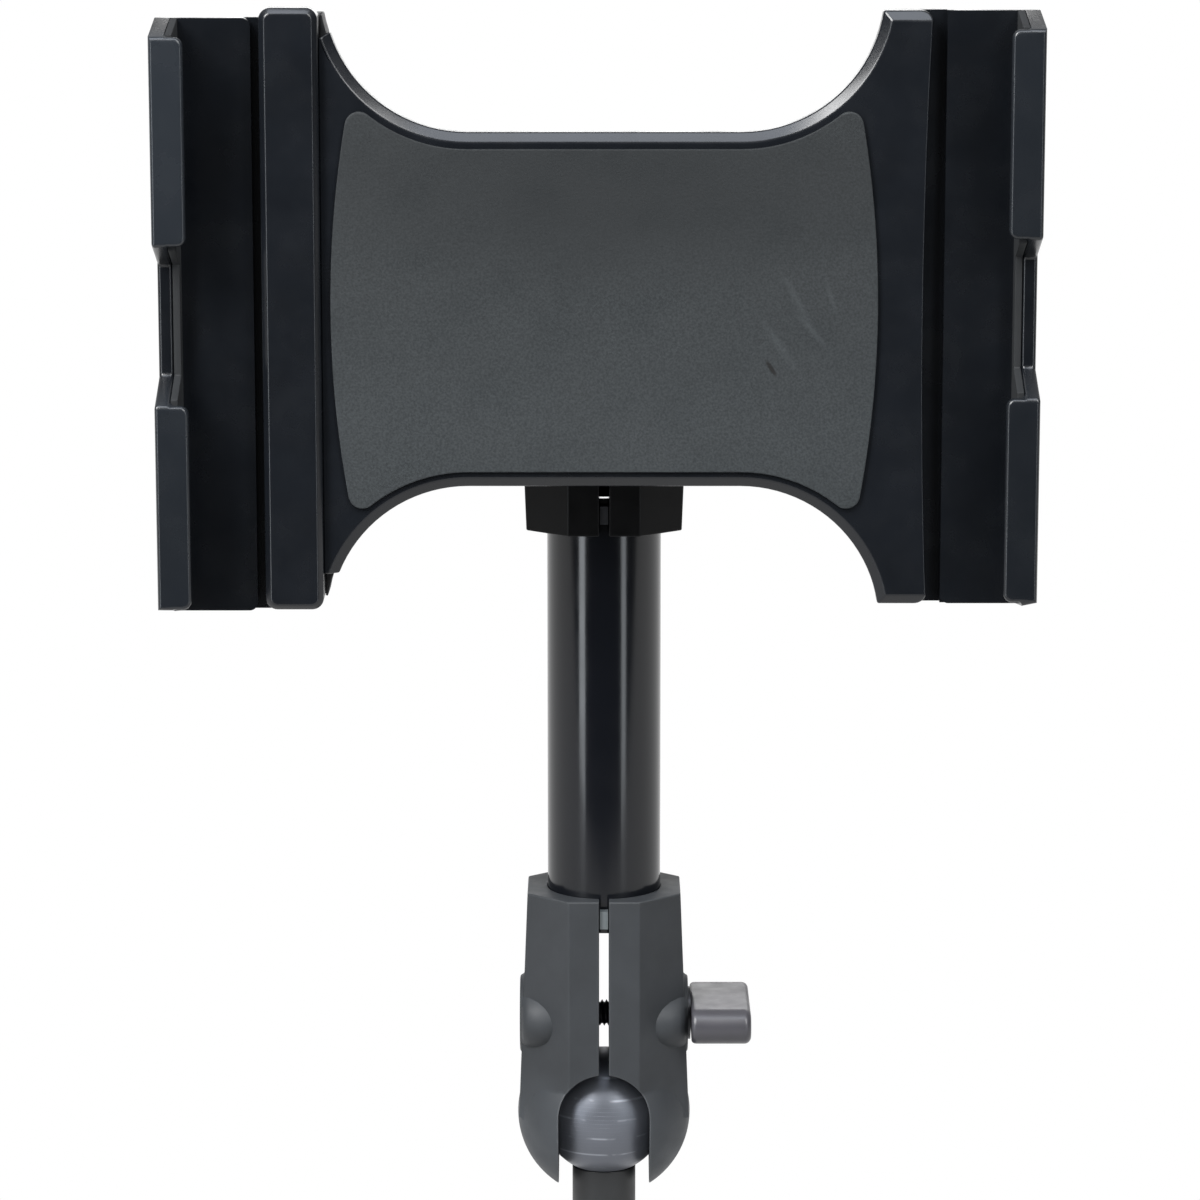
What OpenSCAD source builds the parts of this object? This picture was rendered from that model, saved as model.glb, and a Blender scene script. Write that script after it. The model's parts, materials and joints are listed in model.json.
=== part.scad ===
// Tablet holder: a clamp cradle on a tube arm with a ball joint at each end.
// The origin is at the foot of the post, X runs to the right, Z runs up,
// and the cradle faces the driver, towards -Y.

/* [Arm] */
// Distance from the lower ball's centre to the upper ball's centre
arm_length = 188.8; // [150:0.1:260]
// Outside diameter of the arm tube
tube_d = 25.4; // [22:0.1:26]
// Wall of the arm tube
tube_wall = 2; // [1.5:0.1:3]
// How deep the tube sits in each clamp
seat_depth = 8; // [6:0.5:9]

/* [Ball joints] */
// Diameter of each ball
ball_d = 28.8; // [26:0.1:30]
// Gap between a ball and its sockets
ball_gap = 0.15; // [0.1:0.05:0.3]
// Diameter of the neck behind each ball
neck_d = 14.4; // [12:0.1:16]
// Diameter of the spigot that holds a ball
spigot_d = 8; // [6:0.5:9]
// Depth of the spigot hole, measured from the ball's centre
spigot_reach = 3; // [0:0.5:6]
// Running gap round a spigot
spigot_gap = 0.08; // [0.05:0.01:0.1]
// Height of the lower ball's centre over the foot of the post
post_height = 26; // [22:0.5:60]
// Core diameter of the threaded hole in the post's foot
post_thread_d = 6.8; // [5:0.1:8.5]
// Depth of the threaded hole in the post's foot
post_thread_depth = 9; // [5:0.5:9.5]

/* [Clamps] */
// Distance from a ball's centre to the clamp's far end
clamp_reach = 53; // [48:0.5:60]
// Width of a clamp at the tube end
clamp_w = 34.4; // [33:0.1:36]
// Width of a clamp beside the ball
clamp_w_ball = 38.6; // [36:0.1:40]
// Front to back depth of a clamp
clamp_depth = 32.4; // [31:0.1:34]
// Width of a clamp's flat front face
clamp_flat = 15.9; // [12:0.1:18]
// Width of a clamp's flat side face
clamp_side_flat = 12.4; // [10:0.1:14]
// Radius of the rounded end round the ball
clamp_end_r = 19.6; // [18.5:0.1:21]
// Gap between the two halves of a clamp
split_gap = 2.2; // [1.6:0.1:3]
// Width of the slot that the neck swings in
neck_slot_w = 20.6; // [18:0.1:22]
// How far the slot's round end is set towards the arm
neck_slot_shift = 2.5; // [1:0.5:5]
// Distance from the ball's centre to the clamp screw
screw_reach = 23; // [22:0.5:26]
// How far a screw boss stands out from the clamp's side at the washer's edge
boss_proud = 0.4; // [0.2:0.1:1.5]
// Radius of a screw boss at its face
boss_r = 8.5; // [7:0.1:9.5]
// Radius of a screw boss at its root
boss_root_r = 13.8; // [12:0.1:15]
// Depth of a screw boss from face to root
boss_len = 9; // [6:0.5:9]
// Depth of the hexagon pocket behind the nut
nut_pocket = 6; // [5:0.5:7]
// Depth of the bore that each clamp has behind the tube's end
bore_depth = 12; // [6:0.5:14]
// Height of the keys that stop the tube from turning
key_h = 4; // [2:0.5:5]
// Side gap between a key and the clamp halves
key_gap = 0.2; // [0.1:0.05:0.4]

/* [Clamp screws] */
// Diameter of a clamp screw
screw_d = 6; // [5:0.5:6]
// Clearance round a clamp screw
screw_gap = 0.1; // [0.05:0.05:0.3]
// Width of the nut across its flats
nut_af = 10; // [9:0.5:10]
// Thickness of the nut
nut_h = 5; // [4:0.5:6]
// Diameter of the washer under the knob
washer_d = 12; // [11:0.5:14]
// Thickness of the washer under the knob
washer_h = 0.6; // [0.5:0.1:1.5]
// Diameter of the knob's collar
collar_d = 11.2; // [10:0.1:13]
// Length of the knob's collar
collar_len = 1.2; // [1:0.1:4]
// Length of the knob's wing from tip to tip
wing_len = 30; // [24:0.5:40]
// Thickness of the knob's wing
wing_t = 8; // [7:0.1:10]
// How far the wing stands out past the collar
wing_depth = 12.3; // [9:0.1:18]

/* [Cradle] */
// Distance from the ball's centre to the cradle's front face
face_reach = 42; // [41:0.5:60]
// Half length of the base to its right end
base_half_l = 69; // [62:0.5:90]
// Half height of the base at its flared ends
base_half_h = 63.3; // [58:0.1:80]
// Half height of the base at its middle
waist_half_h = 37.8; // [34:0.1:40]
// Radius of the four concave flares
flare_r = 30; // [26:0.5:31]
// Distance from the middle to the centre of each flare
flare_x = 29; // [24:0.5:29]
// How far the middle of the base's right end is hollowed
end_hollow = 1.4; // [0:0.1:2.5]
// Corner radius of the base
base_corner_r = 2.5; // [1:0.5:4]
// Thickness of the base
base_t = 5; // [4:0.5:6]
// How far each flare's left tip is cut back from the base's half height
tip_cut = 4.5; // [2:0.1:10]
// Width of the bevel round the base's front
bevel_w = 2.1; // [1:0.1:4]
// Depth of the bevel round the base's front
bevel_t = 1.6; // [0.5:0.1:2.5]
// How far the grip pad stands over the base
pad_t = 0.9; // [0.5:0.1:1.5]
// Gap between the grip pad and the end cap bar
pad_gap = 2; // [1:0.1:6]
// Gap between the grip pad and the base's bevel
pad_inset = 1.3; // [0.5:0.1:3]
// Radius of the pad's curved ends
pad_end_r = 232; // [150:1:400]
// Corner radius of the grip pad
pad_corner_r = 3; // [1:0.5:4]
// Depth of the rear cover
cover_t = 10; // [9:0.5:14]
// Wall of the rear cover
cover_wall = 2.2; // [1.8:0.1:2.4]
// How far the rear cover's outline is set in from the base's
cover_inset = 1; // [0.5:0.1:1.5]

/* [End cap] */
// How far the end cap bar's inner side is set in from the base's half length
cap_inset = 9; // [8:0.5:12]
// Width of the end cap bar
cap_w = 12.4; // [11:0.1:13]
// How far the end cap bar stands out past the base's half height
cap_over = 0.7; // [0:0.1:3]
// How far the end cap bar stands proud of the base
cap_proud = 3; // [1:0.1:5]
// Corner radius of the end cap bar
cap_corner_r = 2.5; // [1:0.1:4]
// Edge bevel of the end cap bar
cap_bevel = 1.2; // [0.5:0.1:1.5]
// Width of the foot that the end cap stands on
cap_foot_w = 5.4; // [5:0.1:6]

/* [Jaws] */
// Width of a jaw's floor plate
jaw_floor_w = 20; // [16:0.1:30]
// Gap between the base's right end and the fixed jaw
jaw_gap = 3.1; // [2:0.1:5]
// Gap between the end cap and the sliding jaw
slide_gap = 2; // [1:0.1:4]
// How much lower the sliding jaw stands than the base
slide_drop = 1.6; // [0:0.1:2]
// Thickness of a jaw's floor plate
jaw_floor_t = 3; // [2:0.1:4]
// Depth of the channel between floor and lip
channel_depth = 13.3; // [8:0.1:20]
// Thickness of a lip
lip_t = 2.6; // [2:0.1:3.5]
// Width of a lip, with its wall
lip_w = 7.1; // [6:0.1:12]
// Thickness of a jaw's outer wall
wall_t = 3.2; // [2:0.1:4]
// Thickness of the rubber liner inside the wall
liner_t = 1.6; // [1:0.1:2.5]
// Radius of a lip's inner corners
lip_corner_r = 1.8; // [0.5:0.1:3]
// Half length of the notch in a jaw's lip
notch_half = 16.8; // [10:0.1:25]
// Length of the ramps at the ends of the notch
notch_ramp = 5; // [2:0.1:8]
// Height of the low ridge left in the notch
notch_ridge = 4; // [2:0.1:8]
// How much the wall's ends slope in towards the lip
end_slope = 3.1; // [1:0.1:6]
// How far the sliding jaw travels
jaw_travel = 60; // [20:1:66]

/* [Slide] */
// Diameter of the two guide rods
rod_d = 4; // [3:0.1:4]
// Half distance between the guide rods
rod_half_span = 27; // [20:0.5:30]
// How much of a rod is left in its block when the jaw is right out
rod_hold = 4; // [2:0.5:8]
// Running gap round a guide rod
rod_gap = 0.08; // [0.05:0.01:0.1]
// Outside diameter of each jaw spring
spring_d = 4; // [3:0.1:4.4]
// Thickness of the flange that joins a jaw to the cradle
flange_t = 2.4; // [1.5:0.1:2.5]

/* [Fasteners] */
// Diameter of the small screws
small_screw_d = 3; // [2.5:0.1:3]
// Diameter of the small screws' heads
small_head_d = 5.6; // [5:0.1:6]
// Diameter of the four screws in the ball plate
plate_screw_d = 4; // [3:0.1:4]
// Diameter of the ball plate
plate_d = 40; // [36:0.5:46]
// Thickness of the ball plate
plate_t = 4; // [3:0.1:5]
// Radius of the circle of screws in the ball plate
plate_pitch_r = 14.5; // [13:0.1:15]

/* [Hidden] */

fine = 96;
round_fine = 48;
small_fine = 32;
eps = 0.01;
big = 400;

ball_r = ball_d / 2;
socket_r = ball_r + ball_gap;
neck_r = neck_d / 2;
spigot_r = spigot_d / 2;
tube_r = tube_d / 2;
low_z = post_height;
high_z = post_height + arm_length;
tube_low_z = low_z + clamp_reach - seat_depth;
tube_high_z = high_z - clamp_reach + seat_depth;

corner_x = clamp_flat / 2;
corner_y = clamp_side_flat / 2;
boss_side_z = screw_reach - washer_d / 2;
boss_x = (clamp_w_ball + (clamp_w - clamp_w_ball) * boss_side_z / clamp_reach) / 2 + boss_proud;
hole_r = screw_d / 2 + screw_gap;
nut_face_x = boss_x - nut_pocket;
washer_x = boss_x + washer_h;
wing_x = washer_x + collar_len;

face_y = -face_reach;
base_back_y = face_y + base_t;
cover_back_y = base_back_y + cover_t;
plate_back_y = cover_back_y + plate_t;
pad_face_y = face_y - pad_t;

floor_y = base_back_y - jaw_floor_t;
flange_back_y = base_back_y + flange_t;
lip_back_y = floor_y - channel_depth;
lip_front_y = lip_back_y - lip_t;
ledge_y = flange_back_y + 0.4;
pocket_y = cover_back_y - cover_wall;
rod_y = pocket_y - rod_d / 2 + 0.4;
spring_y = pocket_y - spring_d / 2 - 0.4;

jaw_half_h = base_half_h;
cap_half_h = base_half_h + cap_over;
cap_right_x = -(base_half_l - cap_inset);
pad_half_l = base_half_l - cap_inset - pad_gap;
cap_left_x = cap_right_x - cap_w;
cap_front_y = face_y - cap_proud;
cap_back_y = base_back_y - 0.5;
foot_left_x = cap_right_x - cap_foot_w;
foot_inset = 8;

fixed_floor_x = base_half_l + jaw_gap;
fixed_wall_x = fixed_floor_x + jaw_floor_w - 0.6;
slide_floor_x = -cap_left_x + slide_gap;
slide_wall_x = slide_floor_x + jaw_floor_w;
slide_flange_x = -foot_left_x + 0.5;
flange_reach = 10;
fixed_flange_x = base_half_l - flange_reach;
cover_end_x = base_half_l - cover_inset;
pocket_x = fixed_flange_x - 3;
block_x = -30;
block_len = 10;
block_half = rod_d / 2 + 2.5;
rod_reach = block_x + block_len + jaw_travel + rod_hold;
carrier_len = 11;
plate_boss_r = plate_screw_d / 2 + 1.3;
plate_head_d = 7;
plate_head_h = 2.2;
spring_half_span = plate_pitch_r * sin(45) + plate_boss_r + spring_d / 2 + 0.4;
carrier_z0 = spring_half_span - spring_d;
carrier_z1 = rod_half_span + block_half;
spring_post_x = base_half_l - 31;
spring_post_r = 1.5;
spring_wire = 0.6;

cover_screw_inset = 21;
cover_screw_x = base_half_l - cover_screw_inset;
cover_screw_z = waist_half_h - 3.8;
cap_screw_inset = 15.3;
cap_screw_far = base_half_h - cap_screw_inset;
cap_screw_z = [-cap_screw_far, -8, 8, cap_screw_far];
fixed_screw_inset = 13.3;
fixed_screw_far = base_half_h - fixed_screw_inset;
fixed_screw_z = [-fixed_screw_far, -18, 18, fixed_screw_far];
head_t = small_screw_d * 0.6;
black = [0.10, 0.12, 0.14];
grey = [0.30, 0.31, 0.32];
steel = [0.60, 0.61, 0.62];

// A cylinder along Y from y0 to y1
module rod_along_y(y0, y1, r, fn = small_fine) {
  translate([0, y0, 0])
    rotate([-90, 0, 0])
      cylinder(h = y1 - y0, r = r, $fn = fn);
}

// A cylinder along X from x0 to x1
module rod_along_x(x0, x1, r, fn = small_fine) {
  translate([x0, 0, 0])
    rotate([0, 90, 0])
      cylinder(h = x1 - x0, r = r, $fn = fn);
}

// A flat XZ outline given thickness from y0 to y1
module slab(y0, y1) {
  translate([0, y1, 0])
    rotate([90, 0, 0])
      linear_extrude(height = y1 - y0)
        children();
}

// A box with square corners from point a to point b
module span(a, b) {
  translate(a)
    cube(b - a);
}

// Places children at the lower joint, or upside down at the upper joint
module at_joint(upper) {
  translate([0, 0, upper ? high_z : low_z])
    mirror([0, 0, upper ? 1 : 0])
      children();
}

// The octagonal body of a clamp, cut to its tapered front outline
module clamp_prism() {
  w = clamp_w_ball / 2;
  d = clamp_depth / 2;
  taper = [[-w, 0], [w, 0], [clamp_w / 2, clamp_reach], [-clamp_w / 2, clamp_reach]];
  intersection() {
    linear_extrude(height = clamp_reach)
      polygon([
        [-w, -corner_y], [-corner_x, -d], [corner_x, -d], [w, -corner_y],
        [w, corner_y], [corner_x, d], [-corner_x, d], [-w, corner_y]
      ]);
    slab(-d, d)
      polygon(taper);
  }
}

// The slot that lets the neck swing from straight out to either side
module neck_slot() {
  slab(-big / 4, big / 4)
    union() {
      translate([0, neck_slot_shift])
        circle(d = neck_slot_w, $fn = fine);
      translate([-neck_slot_w / 2, neck_slot_shift - clamp_end_r * 2])
        square([neck_slot_w, clamp_end_r * 2]);
    }
}

// Both halves of a clamp before the split
module clamp_blank() {
  difference() {
    union() {
      clamp_prism();
      sphere(r = clamp_end_r, $fn = fine);
      translate([0, 0, screw_reach]) {
        rod_along_x(-boss_x, boss_x, boss_r, fine);
        for (s = [-1, 1])
          scale([s, 1, 1])
            translate([boss_x - boss_len, 0, 0])
              rotate([0, 90, 0])
                cylinder(h = boss_len, r1 = boss_root_r, r2 = boss_r, $fn = fine);
      }
    }
    sphere(r = socket_r, $fn = fine);
    neck_slot();
    translate([0, 0, clamp_reach - seat_depth])
      cylinder(h = seat_depth + 1, d = tube_d + 0.1, $fn = fine);
    translate([0, 0, clamp_reach - seat_depth - bore_depth])
      cylinder(h = bore_depth + eps, r = tube_r - tube_wall, $fn = fine);
    translate([0, 0, screw_reach])
      rod_along_x(-big, big, hole_r);
  }
}

// Cuts one side of a clamp at the split; the left side takes the nut
module clamp_half(side) {
  difference() {
    clamp_blank();
    if (side < 0)
      span([-split_gap / 2, -big, -big], [big, big, big]);
    else
      span([-big, -big, -big], [split_gap / 2, big, big]);
    if (side < 0)
      translate([-big, 0, screw_reach])
        rotate([0, 90, 0])
          cylinder(h = big - nut_face_x, d = nut_af / cos(30) + 0.2, $fn = 6);
  }
}

// A ball with a flat and a blind hole for its spigot, the neck pointing down
module ball_piece() {
  flat = sqrt(ball_r * ball_r - neck_r * neck_r);
  difference() {
    sphere(r = ball_r, $fn = fine);
    span([-big, -big, -big], [big, big, -flat]);
    translate([0, 0, -big])
      cylinder(h = big - spigot_reach, r = spigot_r + spigot_gap, $fn = round_fine);
  }
}

// A neck that ends in the spigot of a ball, the ball's centre at the origin
module neck_piece(length) {
  flat = sqrt(ball_r * ball_r - neck_r * neck_r) + spigot_gap;
  translate([0, 0, -length])
    cylinder(h = length - flat, r = neck_r, $fn = fine);
  translate([0, 0, -length])
    cylinder(h = length - spigot_reach - spigot_gap, r = spigot_r, $fn = round_fine);
}

// The knob with its screw, the screw's axis along X
module knob_piece() {
  wing_half = wing_len / 2 - wing_t / 2;
  translate([0, 0, screw_reach]) {
    rod_along_x(-boss_x + 0.5, wing_x, screw_d / 2);
    rod_along_x(washer_x, wing_x + eps, collar_d / 2, round_fine);
    for (s = [-1, 1])
      translate([0, s * wing_half, 0])
        rod_along_x(wing_x, wing_x + wing_depth, wing_t / 2, round_fine);
    span(
      [wing_x, -wing_half, -wing_t / 2],
      [wing_x + wing_depth, wing_half, wing_t / 2]
    );
  }
}

// The washer between the knob's collar and the boss
module washer_piece() {
  translate([0, 0, screw_reach])
    difference() {
      rod_along_x(boss_x, washer_x, washer_d / 2, round_fine);
      rod_along_x(0, big, hole_r);
    }
}

// The nut that sits in the left half's hexagon pocket
module nut_piece() {
  translate([-nut_face_x - nut_h, 0, screw_reach])
    rotate([0, 90, 0])
      difference() {
        cylinder(h = nut_h, d = nut_af / cos(30), $fn = 6);
        translate([0, 0, -1])
          cylinder(h = nut_h + 2, r = screw_d / 2 + 0.05, $fn = small_fine);
      }
}

// The two keys at one end of the tube, seen in the split
module key_pair() {
  half = split_gap / 2 - key_gap;
  for (s = [-1, 1])
    scale([1, s, 1])
      span(
        [-half, tube_r - tube_wall, clamp_reach - seat_depth + 1.5],
        [half, clamp_depth / 2 - 1.2, clamp_reach - seat_depth + 1.5 + key_h]
      );
}

module post() {
  color(grey)
    translate([0, 0, low_z])
      difference() {
        neck_piece(low_z);
        translate([0, 0, -low_z - 1])
          cylinder(h = post_thread_depth + 1, d = post_thread_d, $fn = round_fine);
      }
}

module lower_ball() {
  color(grey)
    translate([0, 0, low_z])
      ball_piece();
}

module clamp_side(upper, side) {
  color(grey)
    at_joint(upper)
      clamp_half(side);
}

module lower_clamp_left() clamp_side(false, -1);
module lower_clamp_right() clamp_side(false, 1);
module upper_clamp_left() clamp_side(true, -1);
module upper_clamp_right() clamp_side(true, 1);

module clamp_knob(upper) {
  color(grey)
    at_joint(upper)
      knob_piece();
}

module lower_knob() clamp_knob(false);
module upper_knob() clamp_knob(true);

module clamp_washer(upper) {
  color(steel)
    at_joint(upper)
      washer_piece();
}

module lower_washer() clamp_washer(false);
module upper_washer() clamp_washer(true);

module clamp_nut(upper) {
  color(steel)
    at_joint(upper)
      nut_piece();
}

module lower_nut() clamp_nut(false);
module upper_nut() clamp_nut(true);

module tube_keys(upper) {
  color(grey)
    at_joint(upper)
      key_pair();
}

module lower_keys() tube_keys(false);
module upper_keys() tube_keys(true);

module arm_tube() {
  color(black)
    difference() {
      translate([0, 0, tube_low_z])
        cylinder(h = tube_high_z - tube_low_z, r = tube_r, $fn = fine);
      translate([0, 0, tube_low_z - 1])
        cylinder(h = tube_high_z - tube_low_z + 2, r = tube_r - tube_wall, $fn = fine);
      lower_keys();
      upper_keys();
    }
}

module upper_ball() {
  color(grey)
    translate([0, 0, high_z])
      rotate([-90, 0, 0])
        ball_piece();
}

// Places children on the four screws of the ball plate
module at_plate_screws() {
  for (a = [45:90:315])
    translate([plate_pitch_r * cos(a), 0, plate_pitch_r * sin(a)])
      children();
}

module ball_plate() {
  color(grey)
    translate([0, 0, high_z])
      difference() {
        union() {
          rotate([-90, 0, 0])
            neck_piece(-cover_back_y);
          rod_along_y(cover_back_y, plate_back_y, plate_d / 2, fine);
        }
        at_plate_screws()
          rod_along_y(-big, big, plate_screw_d / 2 + 0.1);
      }
}

// A screw along Y with its head on the +Y side at y1
module back_screw(y0, y1, d, head_d, head_h) {
  rod_along_y(y0, y1 + eps, d / 2);
  rod_along_y(y1, y1 + head_h, head_d / 2);
}

module plate_screws() {
  color(steel)
    translate([0, 0, high_z])
      at_plate_screws()
        back_screw(pocket_y - 2, plate_back_y, plate_screw_d, plate_head_d, plate_head_h);
}

// Outline of the space above and below the waist, grown by an inset
module waist_cut(inset) {
  for (s = [-1, 1])
    scale([1, s]) {
      translate([-flare_x, waist_half_h - inset])
        square([2 * flare_x, big]);
      for (t = [-1, 1])
        translate([t * flare_x, waist_half_h + flare_r])
          circle(r = flare_r + inset, $fn = fine);
      translate([-flare_x - flare_r / 2, waist_half_h + flare_r])
        square([2 * flare_x + flare_r, big]);
    }
}

// The base's flared outline, set in by inset
module base_outline(inset) {
  hollow_r = (base_half_h * base_half_h + end_hollow * end_hollow) / (2 * end_hollow + eps);
  l = base_half_l - inset - base_corner_r;
  h = base_half_h - inset - base_corner_r;
  difference() {
    union() {
      square([2 * l, 2 * (h + base_corner_r)], center = true);
      square([2 * (l + base_corner_r), 2 * h], center = true);
      for (s = [-1, 1])
        for (t = [-1, 1])
          translate([s * l, t * h])
            circle(r = base_corner_r, $fn = small_fine);
    }
    waist_cut(inset);
    translate([base_half_l - end_hollow + hollow_r, 0])
      circle(r = hollow_r + inset, $fn = 8 * fine);
  }
}

// A bevel cutter along X on the edge at height z
module edge_bevel(z, x0, x1) {
  translate([x0, 0, 0])
    rotate([90, 0, 90])
      linear_extrude(height = x1 - x0)
        polygon([
          [face_y - eps, z - bevel_w], [face_y - eps, z + 1],
          [face_y + bevel_t, z + 1], [face_y + bevel_t, z]
        ]);
}

// Cones along the flares and wedges along the straight edges
module rim_bevel() {
  for (s = [-1, 1])
    scale([1, 1, s]) {
      edge_bevel(waist_half_h, -flare_x, flare_x);
      edge_bevel(base_half_h, flare_x + flare_r * 0.9, base_half_l + 1);
      for (t = [-1, 1])
        translate([t * flare_x, face_y - eps, waist_half_h + flare_r])
          rotate([-90, 0, 0])
            cylinder(h = bevel_t, r1 = flare_r + bevel_w, r2 = flare_r, $fn = fine);
    }
}

// What is cut off the flares beside the end cap: a slope above, a level below
module tip_cuts() {
  x = cap_right_x + 2.3;
  top_z = base_half_h - tip_cut;
  low_z = tip_cut + 2.2 - base_half_h;
  polygon([[x + 3, top_z + 1.8], [x + 3, big], [x - big, big], [x - big, top_z - 0.6 * big]]);
  translate([x - big, low_z - big])
    square([big + 3, big]);
}

// Places children on the four screws that join the cover to the base
module at_cover_screws() {
  for (s = [-1, 1])
    for (t = [-1, 1])
      translate([s * cover_screw_x, 0, t * cover_screw_z])
        children();
}

module base() {
  color(black)
    translate([0, 0, high_z])
      difference() {
        slab(face_y, base_back_y)
          difference() {
            base_outline(0);
            translate([-big, -big])
              square([big + cap_right_x, 2 * big]);
            tip_cuts();
          }
        rim_bevel();
        at_cover_screws()
          rod_along_y(base_back_y - 3, big, small_screw_d / 2);
      }
}

// The pad's outline, which follows the bevel and bulges at both ends
module pad_shape() {
  difference() {
    intersection() {
      square([2 * pad_half_l, 2 * base_half_h], center = true);
      translate([pad_end_r - pad_half_l, 0])
        circle(r = pad_end_r, $fn = 4 * fine);
      translate([pad_half_l - pad_end_r, 0])
        circle(r = pad_end_r, $fn = 4 * fine);
    }
    waist_cut(bevel_w + pad_inset);
  }
}

module grip_pad() {
  color([0.24, 0.26, 0.27])
    translate([0, 0, high_z])
      slab(pad_face_y, face_y)
        offset(r = pad_corner_r, $fn = small_fine)
          offset(delta = -pad_corner_r)
            pad_shape();
}

// A block from the pocket's floor towards the base that guides one rod
module rod_block(x0, x1, z) {
  span([x0, ledge_y, z - block_half], [x1, pocket_y + eps, z + block_half]);
}

module rear_cover() {
  color(black)
    translate([0, 0, high_z])
      difference() {
        union() {
          difference() {
            slab(base_back_y, cover_back_y)
              base_outline(cover_inset);
            slab(base_back_y - 1, pocket_y)
              intersection() {
                base_outline(cover_inset + cover_wall);
                translate([cap_right_x + cover_wall, -big])
                  square([pocket_x - cap_right_x - cover_wall, 2 * big]);
              }
          }
          for (s = [-1, 1])
            rod_block(block_x, block_x + block_len, s * rod_half_span);
          at_cover_screws()
            rod_along_y(base_back_y, pocket_y + eps, small_head_d / 2 + 1);
          at_plate_screws()
            rod_along_y(pocket_y - 3, pocket_y + eps, plate_boss_r);
        }
        span([-big, -big, -big], [cap_right_x + eps, ledge_y, big]);
        span([fixed_flange_x - 0.2, -big, -big], [big, flange_back_y, big]);
        for (s = [-1, 1]) {
          translate([0, rod_y, s * rod_half_span])
            rod_along_x(-big, pocket_x, rod_d / 2 + rod_gap);
          span(
            [-big, -big, s * spring_half_span - spring_d / 2 - 0.5],
            [cap_right_x + cover_wall + 1, spring_y + spring_d / 2 + 0.3,
              s * spring_half_span + spring_d / 2 + 0.5]
          );
          translate([spring_post_x, 0, s * spring_half_span])
            rod_along_y(pocket_y - 1, cover_back_y - 0.8, spring_post_r);
        }
        at_cover_screws() {
          rod_along_y(-big, big, small_screw_d / 2 + 0.1);
          rod_along_y(cover_back_y - head_t, big, small_head_d / 2 + 0.2);
        }
        at_plate_screws()
          rod_along_y(pocket_y - 2, big, plate_screw_d / 2);
        at_cap_screws()
          flush_hole();
        at_fixed_screws()
          flush_hole();
      }
}

// A hole through the cover with a counterbore for a flush head
module flush_hole() {
  rod_along_y(-big, big, small_screw_d / 2 + 0.1);
  rod_along_y(cover_back_y - head_t, big, small_head_d / 2 + 0.2);
}

// Places children on the screws of the end cap
module at_cap_screws() {
  for (z = cap_screw_z)
    translate([(foot_left_x + cap_right_x) / 2, 0, z])
      children();
}

// Places children on the screws of the fixed jaw
module at_fixed_screws() {
  for (z = fixed_screw_z)
    translate([(fixed_flange_x + cover_end_x - end_hollow) / 2, 0, z])
      children();
}

module cover_screws() {
  color(steel)
    translate([0, 0, high_z])
      at_cover_screws()
        back_screw(base_back_y - 3, cover_back_y - head_t, small_screw_d,
          small_head_d, head_t);
}

module end_cap_screws() {
  color(steel)
    translate([0, 0, high_z])
      at_cap_screws()
        back_screw(cap_back_y - 1, cover_back_y - head_t, small_screw_d,
          small_head_d, head_t);
}

module right_jaw_screws() {
  color(steel)
    translate([0, 0, high_z])
      at_fixed_screws()
        back_screw(base_back_y, cover_back_y - head_t, small_screw_d,
          small_head_d, head_t);
}

// A box with rounded corners seen from the front and a bevelled front edge
module cap_bar() {
  w = cap_w / 2;
  h = cap_half_h;
  module rounded(inset) {
    hull()
      for (s = [-1, 1])
        for (t = [-1, 1])
          translate([s * (w - cap_corner_r), t * (h - cap_corner_r)])
            circle(r = cap_corner_r - inset, $fn = small_fine);
  }
  hull() {
    slab(cap_front_y + cap_bevel, cap_back_y)
      rounded(0);
    slab(cap_front_y, cap_back_y)
      rounded(cap_bevel);
  }
}

module end_cap() {
  foot_half = base_half_h - foot_inset;
  color(black)
    translate([0, 0, high_z])
      difference() {
        union() {
          translate([cap_right_x - cap_w / 2, 0, 0])
            cap_bar();
          span([foot_left_x, cap_back_y - eps, -foot_half], [cap_right_x, ledge_y, foot_half]);
        }
        at_cap_screws()
          rod_along_y(cap_back_y - 1, big, small_screw_d / 2);
      }
}

// The side view of a jaw: wall ends slope in, a ramped notch in the middle
module jaw_side(x0, x1, top_y) {
  h = jaw_half_h;
  slope = end_slope * (floor_y - top_y) / (floor_y - lip_front_y);
  ridge_y = floor_y - notch_ridge;
  inner = notch_half - notch_ramp;
  translate([x0, 0, 0])
    rotate([90, 0, 90])
      linear_extrude(height = x1 - x0)
        polygon([
          [floor_y, -h], [top_y, slope - h], [top_y, -notch_half],
          [ridge_y, -inner], [ridge_y, inner],
          [top_y, notch_half], [top_y, h - slope], [floor_y, h],
          [floor_y + 1, h], [floor_y + 1, -h]
        ]);
}

// A plate from x0 to x1 and z0 to z1 with rounded corners on its x0 side
module tab_outline(x0, x1, z0, z1, r) {
  translate([x0, z0 + r])
    square([x1 - x0, z1 - z0 - 2 * r]);
  translate([x0 + r, z0])
    square([x1 - x0 - r, z1 - z0]);
  for (z = [z0 + r, z1 - r])
    translate([x0 + r, z])
      circle(r = r, $fn = small_fine);
}

// Floor, wall and lips of a jaw whose floor starts at x0, opening towards -X
module jaw_channel(x0, wall_x) {
  slab(floor_y, base_back_y)
    tab_outline(x0, wall_x, -jaw_half_h, jaw_half_h, lip_corner_r);
  jaw_side(wall_x - wall_t, wall_x, lip_front_y);
  for (s = [-1, 1])
    scale([1, 1, s])
      slab(lip_front_y, lip_back_y)
        tab_outline(wall_x - lip_w, wall_x - eps, notch_half, jaw_half_h - end_slope,
          lip_corner_r);
}

// The rubber strip inside a jaw's wall
module liner_strip(wall_x) {
  intersection() {
    jaw_side(wall_x - wall_t - liner_t, wall_x - wall_t, lip_front_y);
    span([-big, lip_back_y, -big], [big, floor_y, big]);
  }
}

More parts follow.
